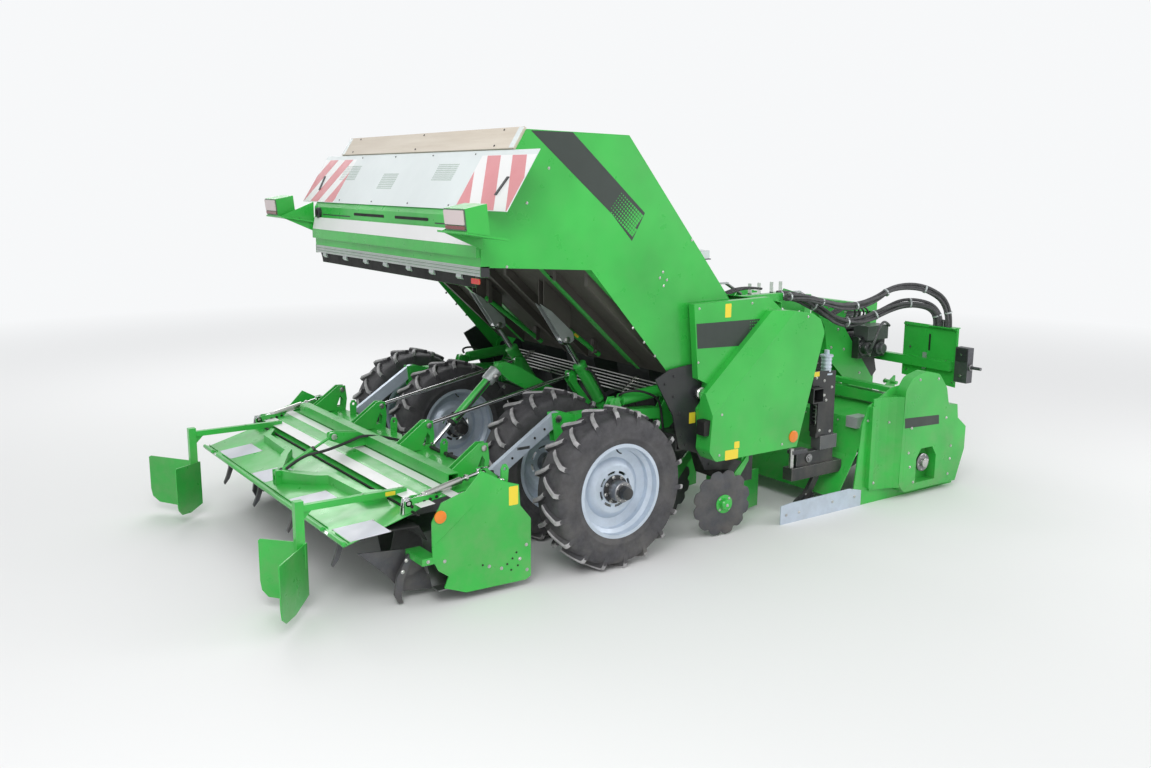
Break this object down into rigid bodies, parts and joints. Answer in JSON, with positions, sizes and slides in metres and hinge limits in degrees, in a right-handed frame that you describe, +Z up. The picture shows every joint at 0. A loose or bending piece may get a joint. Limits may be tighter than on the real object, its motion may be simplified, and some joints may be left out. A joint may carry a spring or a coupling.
{
  "type": "potato planter",
  "caption": "Wide trailed planter with a raised tipping hopper, side covers, rubber wheels, a soil tiller in front and a ridging hood behind.",
  "frame": {"origin": "centre of the footprint on the ground", "axes": "+X forward to the tractor, +Y to the left, +Z up"},
  "size_m": [6.49, 3.42, 2.9314],
  "materials": {
    "aluminium": "mill finish",
    "board": "plain board",
    "chrome": "polished",
    "dark": "satin paint",
    "galvanised": "zinc coated",
    "green": "gloss paint",
    "rubber": "matt rubber",
    "silver": "silver paint",
    "steel": "bare steel",
    "tyre": "matt rubber",
    "white": "satin paint"
  },
  "bodies": {
    "chassis": {"carrier_links": "steel", "cup_belt_housings": "dark", "disc_arms": "green", "frame_brackets": "green", "frame_plates": "dark", "furrow_openers": "steel", "gearbox": "dark", "headstock": "green", "hitch_shields": "green", "hose_bundles": "rubber", "main_frame": "dark", "parking_pins": "green", "rod_grille": "galvanised", "row_looseners": "dark", "side_covers": "green", "skid_plates": "galvanised", "tiller_beams": "green", "tiller_hood": "green", "tiller_sides": "green", "wheel_carriers": "green"},
    "wheel_outer_right": {"tyre_outer_right": "tyre", "rim_outer_right": "silver"},
    "wheel_inner_right": {"tyre_inner_right": "tyre", "rim_inner_right": "silver"},
    "wheel_inner_left": {"tyre_inner_left": "tyre", "rim_inner_left": "silver"},
    "wheel_outer_left": {"tyre_outer_left": "tyre", "rim_outer_left": "silver"},
    "closing_1": {"disc_1": "steel"},
    "closing_2": {"disc_2": "steel"},
    "closing_3": {"disc_3": "steel"},
    "closing_4": {"disc_4": "steel"},
    "closing_5": {"disc_5": "steel"},
    "closing_6": {"disc_6": "steel"},
    "closing_7": {"disc_7": "steel"},
    "closing_8": {"disc_8": "steel"},
    "rotor": {"tiller_rotor": "steel"},
    "hopper": {"hopper_board": "board", "hopper_brackets": "green", "hopper_floor": "dark", "hopper_rear_beams": "aluminium", "hopper_rear_wall": "green", "hopper_sides": "green", "hazard_panel": "white", "lamp_boxes": "green"},
    "ram_barrels": {"ram_barrels": "green"},
    "ram_rods": {"ram_rods": "chrome"},
    "arms": {"lift_arms": "galvanised"},
    "ridger": {"marker_arms": "green", "press_frame": "green", "ridge_former": "steel", "ridger_beams": "green", "ridger_brackets": "green", "ridger_hood": "green", "ridger_sides": "green", "ridger_tines": "steel", "turnbuckles": "chrome"},
    "links": {"top_links": "chrome"},
    "lift_barrel": {"lift_barrel": "green"},
    "lift_rod": {"lift_rod": "chrome"}
  },
  "joints": [
    {"name": "wheel_outer_right_spin", "type": "hinge", "parent": "chassis", "child": "wheel_outer_right", "pos_m": [-0.935, -1.5, 0.5525], "axis": [0, 1, 0], "continuous": true},
    {"name": "wheel_inner_right_spin", "type": "hinge", "parent": "chassis", "child": "wheel_inner_right", "pos_m": [-0.935, -0.75, 0.5525], "axis": [0, 1, 0], "continuous": true},
    {"name": "wheel_inner_left_spin", "type": "hinge", "parent": "chassis", "child": "wheel_inner_left", "pos_m": [-0.935, 0.75, 0.5525], "axis": [0, 1, 0], "continuous": true},
    {"name": "wheel_outer_left_spin", "type": "hinge", "parent": "chassis", "child": "wheel_outer_left", "pos_m": [-0.935, 1.5, 0.5525], "axis": [0, 1, 0], "continuous": true},
    {"name": "closing_1_spin", "type": "hinge", "parent": "chassis", "child": "closing_1", "pos_m": [0.115, -1.485, 0.256], "axis": [0.1392, 0.9903, 0], "continuous": true},
    {"name": "closing_2_spin", "type": "hinge", "parent": "chassis", "child": "closing_2", "pos_m": [0.115, -0.875, 0.256], "axis": [-0.1392, 0.9903, 0], "continuous": true},
    {"name": "closing_3_spin", "type": "hinge", "parent": "chassis", "child": "closing_3", "pos_m": [0.115, -0.625, 0.256], "axis": [0.1392, 0.9903, 0], "continuous": true},
    {"name": "closing_4_spin", "type": "hinge", "parent": "chassis", "child": "closing_4", "pos_m": [0.115, -0.125, 0.256], "axis": [-0.1392, 0.9903, 0], "continuous": true},
    {"name": "closing_5_spin", "type": "hinge", "parent": "chassis", "child": "closing_5", "pos_m": [0.115, 0.125, 0.256], "axis": [0.1392, 0.9903, 0], "continuous": true},
    {"name": "closing_6_spin", "type": "hinge", "parent": "chassis", "child": "closing_6", "pos_m": [0.115, 0.625, 0.256], "axis": [-0.1392, 0.9903, 0], "continuous": true},
    {"name": "closing_7_spin", "type": "hinge", "parent": "chassis", "child": "closing_7", "pos_m": [0.115, 0.875, 0.256], "axis": [0.1392, 0.9903, 0], "continuous": true},
    {"name": "closing_8_spin", "type": "hinge", "parent": "chassis", "child": "closing_8", "pos_m": [0.115, 1.485, 0.256], "axis": [-0.1392, 0.9903, 0], "continuous": true},
    {"name": "rotor_spin", "type": "hinge", "parent": "chassis", "child": "rotor", "pos_m": [2.285, 0, 0.275], "axis": [0, 1, 0], "continuous": true},
    {"name": "hopper_tip", "type": "hinge", "parent": "chassis", "child": "hopper", "pos_m": [-0.075, 0, 1.1], "axis": [0, 1, 0], "range_deg": [-30, 0]},
    {"name": "ram_swing", "type": "hinge", "parent": "chassis", "child": "ram_barrels", "pos_m": [-0.265, 0, 0.87], "axis": [0, 1, 0], "range_deg": [-30, 1]},
    {"name": "ram_stroke", "type": "slide", "parent": "ram_barrels", "child": "ram_rods", "axis": [-0.5582, 0, 0.8297], "range_m": [-0.16, 0.005]},
    {"name": "arm_lift", "type": "hinge", "parent": "chassis", "child": "arms", "pos_m": [-1.135, 0, 0.99], "axis": [0, 1, 0], "range_deg": [0, 14]},
    {"name": "ridger_tilt", "type": "hinge", "parent": "arms", "child": "ridger", "pos_m": [-1.67, 0, 0.645], "axis": [0, 1, 0], "range_deg": [-3, 0.5]},
    {"name": "link_swing", "type": "hinge", "parent": "chassis", "child": "links", "pos_m": [-0.505, 0, 1.12], "axis": [0, 1, 0], "range_deg": [-0.5, 8]},
    {"name": "lift_swing", "type": "hinge", "parent": "chassis", "child": "lift_barrel", "pos_m": [-1.085, 0, 1.228], "axis": [0, 1, 0], "range_deg": [-0.5, 12]},
    {"name": "lift_stroke", "type": "slide", "parent": "lift_barrel", "child": "lift_rod", "axis": [-0.7343, 0, -0.6788], "range_m": [-0.045, 0.005]}
  ],
  "couplings": [
    {"joint": "ram_swing", "follows": "hopper_tip", "ratio": 0.96199},
    {"joint": "ram_stroke", "follows": "hopper_tip", "m_per_rad": 0.29148},
    {"joint": "ridger_tilt", "follows": "arm_lift", "ratio": -0.1539},
    {"joint": "link_swing", "follows": "arm_lift", "ratio": 0.4924},
    {"joint": "lift_swing", "follows": "arm_lift", "ratio": 0.76758},
    {"joint": "lift_stroke", "follows": "arm_lift", "m_per_rad": -0.1496}
  ]
}
